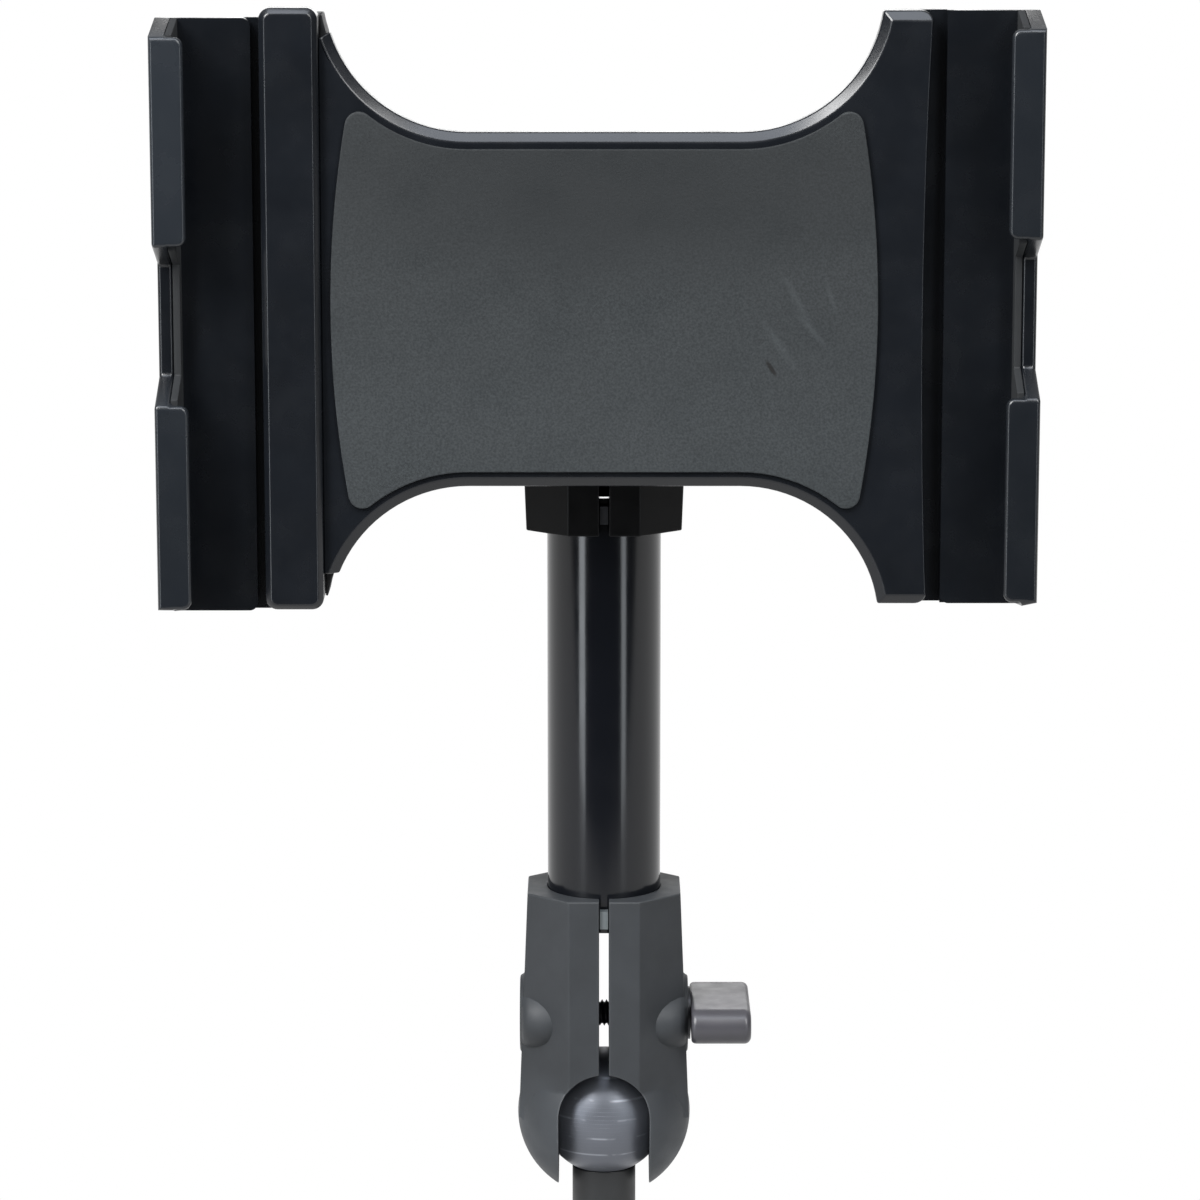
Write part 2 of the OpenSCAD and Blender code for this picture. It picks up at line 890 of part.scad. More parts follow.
module right_jaw() {
  color(black)
    translate([0, 0, high_z])
      difference() {
        union() {
          jaw_channel(fixed_floor_x, fixed_wall_x);
          span([fixed_flange_x, base_back_y, -jaw_half_h],
            [fixed_floor_x + 4, flange_back_y, jaw_half_h]);
          span([fixed_floor_x, floor_y + 1, -jaw_half_h],
            [fixed_floor_x + 4, flange_back_y, jaw_half_h]);
        }
        at_fixed_screws()
          rod_along_y(base_back_y, big, small_screw_d / 2);
      }
}

module right_liner() {
  color([0.15, 0.15, 0.16])
    translate([0, 0, high_z])
      liner_strip(fixed_wall_x);
}

// Places the sliding jaw's children, which mirror the fixed jaw's
module at_slide() {
  translate([0, 0, high_z - slide_drop])
    mirror([1, 0, 0])
      children();
}

module left_jaw() {
  color(black)
    at_slide()
      difference() {
        union() {
          jaw_channel(slide_floor_x, slide_wall_x);
          span([slide_flange_x, base_back_y - eps, -jaw_half_h],
            [slide_floor_x + 4, flange_back_y, jaw_half_h]);
          for (s = [-1, 1])
            scale([1, 1, s])
              span([slide_floor_x, base_back_y - eps, carrier_z0],
                [slide_floor_x + carrier_len, cover_back_y - 1, carrier_z1]);
        }
        for (s = [-1, 1])
          translate([0, rod_y, s * rod_half_span + slide_drop])
            rod_along_x(slide_floor_x - 1, slide_floor_x + carrier_len - 2, rod_d / 2);
      }
}

module left_liner() {
  color([0.15, 0.15, 0.16])
    at_slide()
      liner_strip(slide_wall_x);
}

module guide_rods() {
  color(steel)
    for (s = [-1, 1])
      translate([0, rod_y, high_z + s * rod_half_span])
        rod_along_x(-slide_floor_x - carrier_len + 2, rod_reach, rod_d / 2);
}

module spring_posts() {
  color(steel)
    for (s = [-1, 1])
      translate([spring_post_x, 0, high_z + s * spring_half_span])
        rod_along_y(base_back_y + 1, cover_back_y - 0.8, spring_post_r);
}

// A closely wound coil drawn as a tube, with an eye round its post
module jaw_springs() {
  r = spring_d / 2;
  eye_r = spring_post_r + 0.1 + spring_wire / 2;
  color(steel)
    for (s = [-1, 1])
      translate([0, spring_y, high_z + s * spring_half_span]) {
        difference() {
          rod_along_x(-slide_floor_x + 0.2, spring_post_x - eye_r, r);
          rod_along_x(-slide_floor_x - 1, spring_post_x - eye_r - 1, r - spring_wire);
        }
        translate([spring_post_x, 0, 0])
          rotate([90, 0, 0])
            rotate_extrude($fn = round_fine)
              translate([eye_r, 0])
                circle(d = spring_wire, $fn = small_fine);
      }
}

post();
lower_ball();
lower_clamp_left();
lower_clamp_right();
lower_knob();
lower_washer();
lower_nut();
arm_tube();
lower_keys();
upper_keys();
upper_clamp_left();
upper_clamp_right();
upper_knob();
upper_washer();
upper_nut();
upper_ball();
ball_plate();
plate_screws();
base();
grip_pad();
rear_cover();
cover_screws();
end_cap();
end_cap_screws();
right_jaw();
right_liner();
right_jaw_screws();
left_jaw();
left_liner();
guide_rods();
jaw_springs();
spring_posts();
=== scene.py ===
# %% [markdown]
# A tablet holder, dressed for its picture. The holder is a cradle with two jaws on a tube
# arm, and the arm has a clamped ball at each end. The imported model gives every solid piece
# at its real size. This script adds rounded edges, threads, springs, finishes and light.

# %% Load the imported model
import json
from math import cos, pi, radians, sin

import bmesh
import bpy
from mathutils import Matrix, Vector


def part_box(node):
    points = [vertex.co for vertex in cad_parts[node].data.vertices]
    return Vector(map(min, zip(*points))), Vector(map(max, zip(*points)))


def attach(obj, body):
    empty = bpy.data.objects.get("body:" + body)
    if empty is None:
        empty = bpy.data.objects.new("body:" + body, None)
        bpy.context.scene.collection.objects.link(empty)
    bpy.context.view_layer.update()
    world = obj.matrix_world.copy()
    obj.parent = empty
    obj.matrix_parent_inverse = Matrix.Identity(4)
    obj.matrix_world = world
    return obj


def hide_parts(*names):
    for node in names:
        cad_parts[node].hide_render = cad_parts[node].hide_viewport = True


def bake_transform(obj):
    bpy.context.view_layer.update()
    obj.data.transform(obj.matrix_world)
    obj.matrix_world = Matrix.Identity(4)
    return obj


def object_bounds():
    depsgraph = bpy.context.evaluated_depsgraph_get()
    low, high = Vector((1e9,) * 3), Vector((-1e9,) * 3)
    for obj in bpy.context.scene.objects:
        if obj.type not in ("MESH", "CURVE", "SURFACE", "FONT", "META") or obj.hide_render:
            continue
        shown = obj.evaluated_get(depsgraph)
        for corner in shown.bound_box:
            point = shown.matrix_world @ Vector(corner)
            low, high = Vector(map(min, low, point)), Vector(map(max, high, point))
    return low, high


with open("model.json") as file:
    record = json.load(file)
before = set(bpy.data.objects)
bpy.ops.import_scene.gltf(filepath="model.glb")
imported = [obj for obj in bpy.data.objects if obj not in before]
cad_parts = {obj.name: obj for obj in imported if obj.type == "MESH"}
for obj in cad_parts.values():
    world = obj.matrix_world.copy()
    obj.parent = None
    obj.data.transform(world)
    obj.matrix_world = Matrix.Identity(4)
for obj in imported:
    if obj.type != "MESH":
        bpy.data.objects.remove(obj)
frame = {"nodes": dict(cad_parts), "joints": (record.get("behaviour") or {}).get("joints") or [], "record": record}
cad_low, cad_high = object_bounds()
scene = bpy.context.scene
MM = 0.001
print("the packed model is", [round(x / MM, 1) for x in cad_high - cad_low], "mm in size")

# %% [markdown]
# The places that new pieces are hung on could be typed in, but they are read from the
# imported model, so they always fit it: the two ball centres are the pivots of the tilt
# joints, and the boxes of the pieces give the rest.

# %% Read the joints and the boxes
JOINTS = {joint["name"]: joint for joint in frame["joints"]}
BODY_OF = {
    node: body
    for body, nodes in frame["record"]["behaviour"]["bodies"].items()
    for node in nodes
}
SLOT_OF = {row["node"]: row["material_slot"] for row in frame["record"]["subparts"]}
low_ball = Vector(JOINTS["arm_tilt"]["pos_m"])
high_ball = Vector(JOINTS["cradle_tilt"]["pos_m"])
print("ball to ball:", round((high_ball - low_ball).length / MM, 1), "mm")

# %% [markdown]
# The photograph looks down on the arm by about eleven degrees with a long lens. A narrow
# angle of view from about a metre away gives the same weak perspective. The camera aims
# at the tube, at the height that lies in the middle of the photograph.

# %% Camera
VIEW_ANGLE = radians(15.0)
PITCH = radians(10.75)
DISTANCE = 1020 * MM
AIM = low_ball + Vector((-0.9, 0, 118.6)) * MM
camera_data = bpy.data.cameras.new("camera")
camera_data.angle = VIEW_ANGLE
camera_data.clip_start = 0.05
camera_data.clip_end = 50
camera = bpy.data.objects.new("camera", camera_data)
camera.location = AIM + Vector((0, -cos(PITCH), sin(PITCH))) * DISTANCE
camera.rotation_euler = (pi / 2 - PITCH, 0, 0)
scene.collection.objects.link(camera)
scene.camera = camera
print("camera at", [round(x / MM) for x in camera.location], "mm")

# %% [markdown]
# The first finish is moulded plastic, and most others are variations of it. A finish is a
# Principled shader whose colour drifts a little, whose roughness is cloudy, and whose bump
# has the grain of the mould. An image could give the grain too, but noise needs no
# unwrapping. Object coordinates keep the grain at its real size, and since they are in
# metres, a grain of half a millimetre needs a scale of two thousand.

# %% Helpers for nodes
def node_tree(name):
    """A new material with an empty Principled shader."""
    material = bpy.data.materials.new(name)
    material.use_nodes = True
    tree = material.node_tree
    return material, tree, tree.nodes["Principled BSDF"]


def add(tree, kind, **values):
    """Adds a node and sets its plain properties."""
    node = tree.nodes.new(kind)
    for key, value in values.items():
        setattr(node, key, value)
    return node


def noise(tree, coordinates, size_mm, detail=3.0, roughness=0.55):
    """Noise whose features are about size_mm across."""
    node = add(tree, "ShaderNodeTexNoise")
    node.inputs["Scale"].default_value = 1 / (size_mm * MM)
    node.inputs["Detail"].default_value = detail
    node.inputs["Roughness"].default_value = roughness
    tree.links.new(coordinates, node.inputs["Vector"])
    return node.outputs["Fac"]


def spread(tree, value, low, high, start=0.3, end=0.7):
    """Stretches the range from start to end onto a new one, low to high."""
    node = add(tree, "ShaderNodeMapRange")
    node.inputs["From Min"].default_value = start
    node.inputs["From Max"].default_value = end
    node.inputs["To Min"].default_value = low
    node.inputs["To Max"].default_value = high
    tree.links.new(value, node.inputs["Value"])
    return node.outputs["Result"]


def axes(tree, vector):
    """The X, Y and Z of a vector."""
    node = add(tree, "ShaderNodeSeparateXYZ")
    tree.links.new(vector, node.inputs[0])
    return node.outputs


def combine(tree, operation, first, second):
    """One value from two, such as their product."""
    node = add(tree, "ShaderNodeMath", operation=operation)
    tree.links.new(first, node.inputs[0])
    tree.links.new(second, node.inputs[1])
    return node.outputs[0]


def blend_colour(tree, factor, first, second, mode="MIX"):
    """Mixes two colours, each either a plain colour or another node's output."""
    node = add(tree, "ShaderNodeMix", data_type="RGBA", blend_type=mode)
    sockets = (node.inputs[0], node.inputs[6], node.inputs[7])
    for socket, value in zip(sockets, (factor, first, second)):
        if isinstance(value, bpy.types.NodeSocket):
            tree.links.new(value, socket)
        elif isinstance(value, (int, float)):
            socket.default_value = value
        else:
            socket.default_value = (*value, 1)
    return node.outputs[2]


def bump(tree, height, depth_mm, normal=None):
    """A bump of the given depth, on top of another bump where one is given."""
    node = add(tree, "ShaderNodeBump")
    node.inputs["Distance"].default_value = depth_mm * MM
    node.inputs["Strength"].default_value = 1.0
    tree.links.new(height, node.inputs["Height"])
    if normal is not None:
        tree.links.new(normal, node.inputs["Normal"])
    return node.outputs["Normal"]


def finish(name, colour, drift, rough, grain_mm, grain_depth, specular=0.5, metallic=0.0,
           cloud_mm=14, rounding_mm=0.0):
    """A moulded, painted or coated surface, and what later steps need to add to it."""
    material, tree, shader = node_tree(name)
    place = add(tree, "ShaderNodeTexCoord").outputs["Object"]
    clouds = noise(tree, place, cloud_mm)
    darker, lighter = ([c * (1 + sign * drift) for c in colour] for sign in (-1, 1))
    tint = blend_colour(tree, clouds, darker, lighter)
    tree.links.new(tint, shader.inputs["Base Color"])
    patches = noise(tree, place, cloud_mm * 0.6, 4.0)
    tree.links.new(spread(tree, patches, rough[0], rough[1]), shader.inputs["Roughness"])
    grain = noise(tree, place, grain_mm, 2.0)
    rounded = None
    if rounding_mm:
        edge = add(tree, "ShaderNodeBevel", samples=4)
        edge.inputs["Radius"].default_value = rounding_mm * MM
        rounded = edge.outputs["Normal"]
    normal = bump(tree, grain, grain_depth, normal=rounded)
    tree.links.new(normal, shader.inputs["Normal"])
    shader.inputs["Specular IOR Level"].default_value = specular
    shader.inputs["Metallic"].default_value = metallic
    material.diffuse_color = (*colour, 1)
    return material, tree, shader, place, tint, normal


# %% [markdown]
# The cradle is satin black plastic with a hint of blue. Its colour is almost black, so its
# shape is drawn by soft reflections, and the roughness matters more than the colour. The
# cover behind it is of a rougher plastic, and the strips in the jaws are rubber.

# %% Cradle plastics
cradle_plastic = finish(
    "cradle_plastic", (0.0046, 0.0056, 0.0074), 0.35, (0.20, 0.30), 0.35, 0.0015, 0.42
)[0]
cover_plastic = finish(
    "cover_plastic", (0.0065, 0.0070, 0.0080), 0.2, (0.48, 0.62), 0.5, 0.03, 0.4,
    rounding_mm=0.5,
)[0]
liner_rubber = finish(
    "liner_rubber", (0.010, 0.011, 0.012), 0.2, (0.6, 0.75), 0.4, 0.02, 0.3
)[0]
print(len(bpy.data.materials), "materials made")

# %% [markdown]
# The jaws are of the same plastic, but their floors look black in the photograph and their
# lips grey, most of all near the top left. The grey is painted light: the lips are lightened
# towards their fronts, their tops and the left, while the recessed floors stay dark. Painting a
# mask on the mesh could show that. Here the place of each point gives the mask: three
# ramps along Y, Z and X are multiplied, and the product mixes in the painted light.

# %% Jaw plastic
LIP_PAINTED_LIGHT = (0.015, 0.018, 0.022)
jaw_plastic_and_painted_light, tree, shader, place, tint, normal = finish(
    "jaw_plastic_and_painted_light", (0.0032, 0.0040, 0.0054), 0.35, (0.20, 0.30), 0.35, 0.0015, 0.45
)
x_axis, y_axis, z_axis = axes(tree, place)
lip_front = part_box("left_jaw")[0].y
# Painted light: the lips are lighter towards their fronts, their tops and the left.
painted_lip_light = spread(tree, y_axis, 1.0, 0.0, lip_front + 1.5 * MM, lip_front + 9 * MM)
upwards = spread(tree, z_axis, 0.45, 0.9, high_ball.z - 45 * MM, high_ball.z + 50 * MM)
leftwards = spread(tree, x_axis, 0.9, 0.45, -60 * MM, 60 * MM)
painted_lip_light = combine(tree, "MULTIPLY", painted_lip_light, upwards)
painted_lip_light = combine(tree, "MULTIPLY", painted_lip_light, leftwards)
tree.links.new(blend_colour(tree, painted_lip_light, tint, LIP_PAINTED_LIGHT), shader.inputs["Base Color"])
print("the lips begin", round(lip_front / MM, 1), "mm from the middle plane")

# %% [markdown]
# The pad is dark grey rubber with a fine leathery grain, cloudy where it has been rubbed.
# Painted shade darkens it towards its top, most of all in a broad patch at its top middle.
# A small dark nick and a few pale scuffs lie right of its middle, where the photograph has
# them. Each mark is a stretched soft spot, placed by a Mapping node.

# %% Helper for marks
def mark(tree, place, x_mm, z_mm, length_mm, width_mm, turn_deg):
    """A soft spot, x and z from the upper ball: 1 in its middle, 0 outside."""
    mapping = add(tree, "ShaderNodeMapping", vector_type="TEXTURE")
    mapping.inputs["Location"].default_value = high_ball + Vector((x_mm, 0, z_mm)) * MM
    mapping.inputs["Rotation"].default_value = (0, radians(turn_deg), 0)
    mapping.inputs["Scale"].default_value = (length_mm * MM, 1, width_mm * MM)
    tree.links.new(place, mapping.inputs["Vector"])
    spot = add(tree, "ShaderNodeTexGradient", gradient_type="SPHERICAL")
    tree.links.new(mapping.outputs["Vector"], spot.inputs["Vector"])
    return spot.outputs["Fac"]


# %% Grip pad rubber
SPECKLE_GREY = (0.014, 0.0165, 0.018)
SHADE_GREY = (0.008, 0.0095, 0.0105)
SCUFF_GREY = (0.085, 0.095, 0.10)
NICK_GREY = (0.004, 0.004, 0.004)
SCUFFS = (  # x, z, length and width in mm, and the turn in degrees
    (41, 2, 9, 1.1, 62), (44, -4, 7, 0.9, 48), (37, -7, 8, 1.3, 55), (48, 3, 5, 0.7, 70),
)
pad_rubber, tree, shader, place, tint, normal = finish(
    "pad_rubber", (0.026, 0.0300, 0.0320), 0.12, (0.55, 0.72), 0.45, 0.05, 0.30, cloud_mm=22
)
speckle = spread(tree, noise(tree, place, 0.5, 3.0), 0.0, 1.0, 0.35, 0.65)
tint = blend_colour(tree, speckle, tint, SPECKLE_GREY)
height = axes(tree, place)["Z"]
# Painted shade: the pad is darker towards its top, and darker still in a broad patch at its top middle.
lower = spread(tree, height, 1.0, 0.62, high_ball.z - 25 * MM, high_ball.z + 30 * MM)
tint = blend_colour(tree, 1.0, tint, lower, mode="MULTIPLY")
shade = spread(tree, mark(tree, place, 0, 28, 66, 26, 0), 0.0, 0.75, 0.0, 0.7)
tint = blend_colour(tree, shade, tint, SHADE_GREY)
for row in SCUFFS:
    scuff = spread(tree, mark(tree, place, *row), 0.0, 0.11, 0.0, 0.8)
    tint = blend_colour(tree, scuff, tint, SCUFF_GREY)
nick = spread(tree, mark(tree, place, 35.4, -12.0, 2.4, 0.6, 57), 0.0, 1.0, 0.0, 0.45)
tint = blend_colour(tree, nick, tint, NICK_GREY)
tree.links.new(tint, shader.inputs["Base Color"])
lumps = bump(tree, noise(tree, place, 26, 2.0), 0.25, normal=normal)
tree.links.new(lumps, shader.inputs["Normal"])
print("the pad has", len(SCUFFS), "scuffs and a nick")

# %% [markdown]
# The clamps are cast metal under a matt grey coat, with a painted highlight along its edges
# and painted light that makes it paler near the lower ball. The upper clamp is in the
# cradle's shade and looks almost black in the photograph, so its coat is painted darker, as
# painted shade, and smoother. The Bevel node finds the edges: it rounds the normal near an
# edge, and the difference from the true normal tells how near the edge is.

# %% Helper for painted edge highlights
def painted_edge_highlight(tree, shader, tint, width_mm, colour, amount):
    """Paints a highlight on a finish near its edges."""
    rounded = add(tree, "ShaderNodeBevel", samples=4)
    rounded.inputs["Radius"].default_value = width_mm * MM
    true_normal = add(tree, "ShaderNodeNewGeometry").outputs["Normal"]
    product = add(tree, "ShaderNodeVectorMath", operation="DOT_PRODUCT")
    tree.links.new(rounded.outputs["Normal"], product.inputs[0])
    tree.links.new(true_normal, product.inputs[1])
    near = spread(tree, product.outputs["Value"], amount, 0.0, 0.75, 0.995)
    tree.links.new(blend_colour(tree, near, tint, colour), shader.inputs["Base Color"])


# %% Cast clamp coatings
clamp_metal, tree, shader, place, tint, normal = finish(
    "clamp_metal", (0.0215, 0.0240, 0.0270), 0.28, (0.50, 0.64), 0.30, 0.02, 0.35, cloud_mm=9
)
height = axes(tree, place)["Z"]
# Painted light: the coat is paler towards the lower ball, at the bottom of the clamp.
painted_light_near_ball = spread(tree, height, 1.75, 1.0, low_ball.z - 8 * MM, low_ball.z + 12 * MM)
tint = blend_colour(tree, 1.0, tint, painted_light_near_ball, mode="MULTIPLY")
# Painted highlight along the lower clamp's edges.
painted_edge_highlight(tree, shader, tint, 0.7, (0.10, 0.105, 0.11), 0.45)
# Painted shade: the upper clamp lies in the cradle's shade, so its coat is made darker.
painted_shade_clamp_metal, tree, shader, place, tint, normal = finish(
    "painted_shade_clamp_metal", (0.0022, 0.0022, 0.0024), 0.2, (0.34, 0.46), 0.30, 0.006, 0.14,
    cloud_mm=9,
)
# Painted highlight along the upper clamp's edges.
painted_edge_highlight(tree, shader, tint, 0.5, (0.02, 0.02, 0.022), 0.25)
print("clamp coats:", clamp_metal.name, "and", painted_shade_clamp_metal.name)

# %% [markdown]
# The tube has a smooth satin coat. Drawing it left faint lines along its length, which
# stretched noise gives: the noise is squeezed round the tube and pulled out along it.

# %% Tube coating
tube_coat, tree, shader, place, tint, normal = finish(
    "tube_coat", (0.0030, 0.0036, 0.0052), 0.2, (0.13, 0.17), 0.25, 0.001, 0.42
)
lines = add(tree, "ShaderNodeMapping")
lines.inputs["Scale"].default_value = (1, 1, 0.02)
tree.links.new(place, lines.inputs["Vector"])
drawn = bump(tree, noise(tree, lines.outputs["Vector"], 0.8, 2.0), 0.006, normal=normal)
tree.links.new(drawn, shader.inputs["Normal"])
print("the tube's coat is", tube_coat.name)

# %% [markdown]
# A ball is turned on a lathe, which leaves rings round its axis, and some of them catch
# the light as thin pale arcs. The rings could be cut into the mesh, but they are finer
# than any sensible mesh, so a wave along the ball's own axis gives them. Each ball has its
# own material, with its centre and its axis in the Mapping node.

# %% Turned ball metal
WAVE_CONSTANT = 0.314  # a Wave texture repeats every WAVE_CONSTANT / scale
RING_MM = 0.9
STREAK_MM = 4.2
STREAK_GREY = (0.36, 0.38, 0.42)


def wave(tree, vector, period_mm, distortion, detail_scale, **values):
    """Bands along Z that repeat every period_mm."""
    node = add(tree, "ShaderNodeTexWave", wave_type="BANDS", bands_direction="Z", **values)
    node.inputs["Scale"].default_value = WAVE_CONSTANT / (period_mm * MM)
    node.inputs["Distortion"].default_value = distortion
    node.inputs["Detail Scale"].default_value = detail_scale
    tree.links.new(vector, node.inputs["Vector"])
    return node


def turned_metal(name, centre, along_y):
    """Dark metal with lathe rings round the Z axis, or round Y for the upper ball."""
    material, tree, shader, place, tint, normal = finish(
        name, (0.120, 0.128, 0.148), 0.12, (0.34, 0.46), 0.2, 0.004, 0.5, metallic=0.6,
        cloud_mm=8,
    )
    mapping = add(tree, "ShaderNodeMapping", vector_type="TEXTURE")
    mapping.inputs["Location"].default_value = centre
    mapping.inputs["Rotation"].default_value = (pi / 2 if along_y else 0, 0, 0)
    tree.links.new(place, mapping.inputs["Vector"])
    own = mapping.outputs["Vector"]
    rings = wave(tree, own, RING_MM, 1.2, 0.4, wave_profile="SAW")
    rings.inputs["Detail"].default_value = 1.0
    ringed = bump(tree, rings.outputs["Fac"], 0.012, normal=normal)
    tree.links.new(ringed, shader.inputs["Normal"])
    streak = wave(tree, own, STREAK_MM, 2.5, 0.25)
    pale = spread(tree, streak.outputs["Fac"], 0.0, 0.55, 0.95, 1.0)
    gaps = spread(tree, noise(tree, place, 5.0, 2.0), 0.0, 1.0, 0.48, 0.60)
    pale = combine(tree, "MULTIPLY", pale, gaps)
    tree.links.new(blend_colour(tree, pale, tint, STREAK_GREY), shader.inputs["Base Color"])
    return material


lower_ball_metal = turned_metal("lower_ball_metal", low_ball, False)
upper_ball_metal = turned_metal("upper_ball_metal", high_ball, True)
print("turned rings every", RING_MM, "mm on both balls")

# %% [markdown]
# The rest are plain: a grey coat on the necks, a paler grey plastic on the knobs, zinc on
# the screws, ground steel on the rods and springs, and bare cast metal on the lower keys,
# which are the light squares in the split under the tube.

# %% Small finishes
stem_metal = finish(
    "stem_metal", (0.013, 0.014, 0.015), 0.12, (0.42, 0.55), 0.3, 0.012, 0.45
)[0]
knob_plastic, tree, shader, place, tint, normal = finish(
    "knob_plastic", (0.042, 0.041, 0.047), 0.16, (0.30, 0.42), 0.35, 0.010, 0.45, cloud_mm=7
)
# Painted highlight along the knob's edges.
painted_edge_highlight(tree, shader, tint, 0.8, (0.11, 0.11, 0.12), 0.4)
screw_steel = finish(
    "screw_steel", (0.30, 0.31, 0.33), 0.12, (0.30, 0.45), 0.15, 0.004, 0.5, metallic=0.9
)[0]
dark_thread = finish(
    "dark_thread", (0.035, 0.036, 0.040), 0.2, (0.30, 0.45), 0.15, 0.004, 0.5, metallic=0.6
)[0]
rod_steel = finish(
    "rod_steel", (0.42, 0.43, 0.45), 0.08, (0.18, 0.28), 0.15, 0.002, 0.5, metallic=1.0
)[0]
key_metal = finish("key_metal", (0.11, 0.125, 0.13), 0.1, (0.35, 0.5), 0.3, 0.008, 0.5)[0]
print(len(bpy.data.materials), "materials made")

# %% [markdown]
# Every slot of the imported model has a finish. A few nodes have one of their own, since the
# two balls differ in their axis, and the lower keys and the washers in their metal. The upper
# keys take the dark metal as painted shade, as they lie in the cradle's shade.

# %% Which finish goes where
DEFAULT_MATERIAL = {
    "cradle_plastic": cradle_plastic, "cover_plastic": cover_plastic,
    "pad_rubber": pad_rubber, "liner_rubber": liner_rubber, "tube_coat": tube_coat,
    "clamp_metal": clamp_metal, "ball_metal": lower_ball_metal, "stem_metal": stem_metal,
    "knob_plastic": knob_plastic, "screw_steel": screw_steel, "rod_steel": rod_steel,
}
OWN_MATERIAL = {
    # The upper keys' dark metal is painted shade.
    "upper_ball": upper_ball_metal, "lower_keys": key_metal, "upper_keys": dark_thread,
    "lower_washer": dark_thread, "upper_washer": dark_thread,
}
print(len(DEFAULT_MATERIAL), "slots have a finish")

# %% [markdown]
# New pieces are drawn in a bmesh and then made into objects. Automatic smoothing would let
# a narrow rounded edge tilt the shading of the wide flat beside it, so each corner's normal
# is the mean of the faces round it that bend little, weighted by their areas.

# %% Helpers for pieces
SMOOTH_LIMIT = radians(32)


def even_normals(mesh, smooth):
    """Shades faces smoothly where they bend by less than a limit, and keeps flats flat."""
    around = [[] for _ in mesh.vertices]
    for face in mesh.polygons:
        for vertex in face.vertices:
            around[vertex].append((face.normal.copy(), face.area))
    limit = cos(smooth)
    normals = []
    for face in mesh.polygons:
        for vertex in face.vertices:
            total = Vector()
            for normal, area in around[vertex]:
                if normal.dot(face.normal) > limit:
                    total += normal * area
            normals.append(total.normalized() if total.length else face.normal.copy())
    mesh.normals_split_custom_set(normals)


def new_piece(name, bm, material):
    """Makes a smooth object of a bmesh, which is used up."""
    mesh = bpy.data.meshes.new(name)
    bm.to_mesh(mesh)
    bm.free()
    mesh.materials.append(material)
    for face in mesh.polygons:
        face.use_smooth = True
    piece = bpy.data.objects.new(name, mesh)
    scene.collection.objects.link(piece)
    return piece


def stand_for(name, bm, node, material=None, smooth=SMOOTH_LIMIT):
    """Turns a bmesh into a piece that rides with a node's body and stands for it."""
    large = [face for face in bm.faces if len(face.verts) > 4]
    bmesh.ops.triangulate(bm, faces=large, quad_method="BEAUTY", ngon_method="EAR_CLIP")
    piece = new_piece(name, bm, material or DEFAULT_MATERIAL[SLOT_OF[node]])
    even_normals(piece.data, smooth)
    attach(piece, BODY_OF[node])
    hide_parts(node)
    return piece


# %% [markdown]
# A moulded or cast piece has no knife edges. Each such node is copied, its triangles are
# joined at their corners, and the bevel operator rounds every edge that bends sharply. The
# copy then stands for the node. Copying keeps every hole and flat exactly in place, which
# modelling the same piece by hand would not. Loop slide stays off: with it, a corner can
# slide far along a long thin triangle and leave a spike.

# %% Helpers for rounded edges
SHARP_FROM = radians(28)
WELD_MM = 0.002


def round_edges(bm, width_mm, segments, front_only):
    """Rounds the sharp edges, or only those that lie in front of a given Y."""
    edges = []
    for edge in bm.edges:
        sharp = len(edge.link_faces) == 2 and edge.calc_face_angle(0.0) > SHARP_FROM
        if sharp and (front_only is None or max(v.co.y for v in edge.verts) < front_only):
            edges.append(edge)
    bmesh.ops.bevel(
        bm, geom=edges, offset=width_mm * MM, offset_type="OFFSET", segments=segments,
        profile=0.5, affect="EDGES", clamp_overlap=False, loop_slide=False, material=-1,
    )
    return len(edges)


def softened(node, width_mm, segments=3, material=None, front_only=None, weld_mm=WELD_MM):
    """A copy of a node with rounded edges, standing for it."""
    bm = bmesh.new()
    bm.from_mesh(frame["nodes"][node].data)
    bmesh.ops.remove_doubles(bm, verts=bm.verts, dist=weld_mm * MM)
    before = sum(face.calc_area() for face in bm.faces)
    count = round_edges(bm, width_mm, segments, front_only)
    piece = stand_for(node + "_finished", bm, node, material)
    after = sum(face.area for face in piece.data.polygons)
    change = round(after / before - 1, 3)
    print(node, "rounded along", count, "edges, its area changed by", change)


# %% [markdown]
# Edges are rounded by about what each process leaves: a third of a millimetre on the
# castings, and more on the jaws, whose lips are meant for fingers. The jaws' hidden backs
# fit closely into the cradle, so only their fronts are rounded.

# %% Rounded castings and mouldings
JAW_FRONT = 15 * MM
for half in ("lower_clamp_left", "lower_clamp_right"):
    softened(half, 0.3)
for half in ("upper_clamp_left", "upper_clamp_right"):
    softened(half, 0.3, material=painted_shade_clamp_metal)
for jaw in ("left_jaw", "right_jaw"):
    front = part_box(jaw)[0].y + JAW_FRONT
    softened(jaw, 0.8, 4, material=jaw_plastic_and_painted_light, front_only=front)
softened("base", 0.35, weld_mm=0.03)
for node in ("end_cap", "grip_pad", "rear_cover"):
    softened(node, 0.3, 2)
softened("ball_plate", 0.35)
softened("post", 0.4)
for node in ("right_liner", "left_liner"):
    softened(node, 0.3, 2)

# %% [markdown]
# Where the screw passes through, each casting swells into a low oblong boss that blends
# out of its slanted sides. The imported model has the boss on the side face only, so its
# swelling over the slants is added here as a loft that stays inside the casting's box.

# %% Helper for lofts
def loft(bm, rings, closed=False):
    """Joins rings of corners with quads. A loft that isn't a closed loop gets two ends."""
    count = len(rings[0])
    pairs = list(zip(rings, rings[1:])) + ([(rings[-1], rings[0])] if closed else [])
    for near, far in pairs:
        for i in range(count):
            j = (i + 1) % count
            bm.faces.new((near[i], near[j], far[j], far[i]))
    if not closed:
        bm.faces.new(rings[0][::-1])
        bm.faces.new(rings[-1])


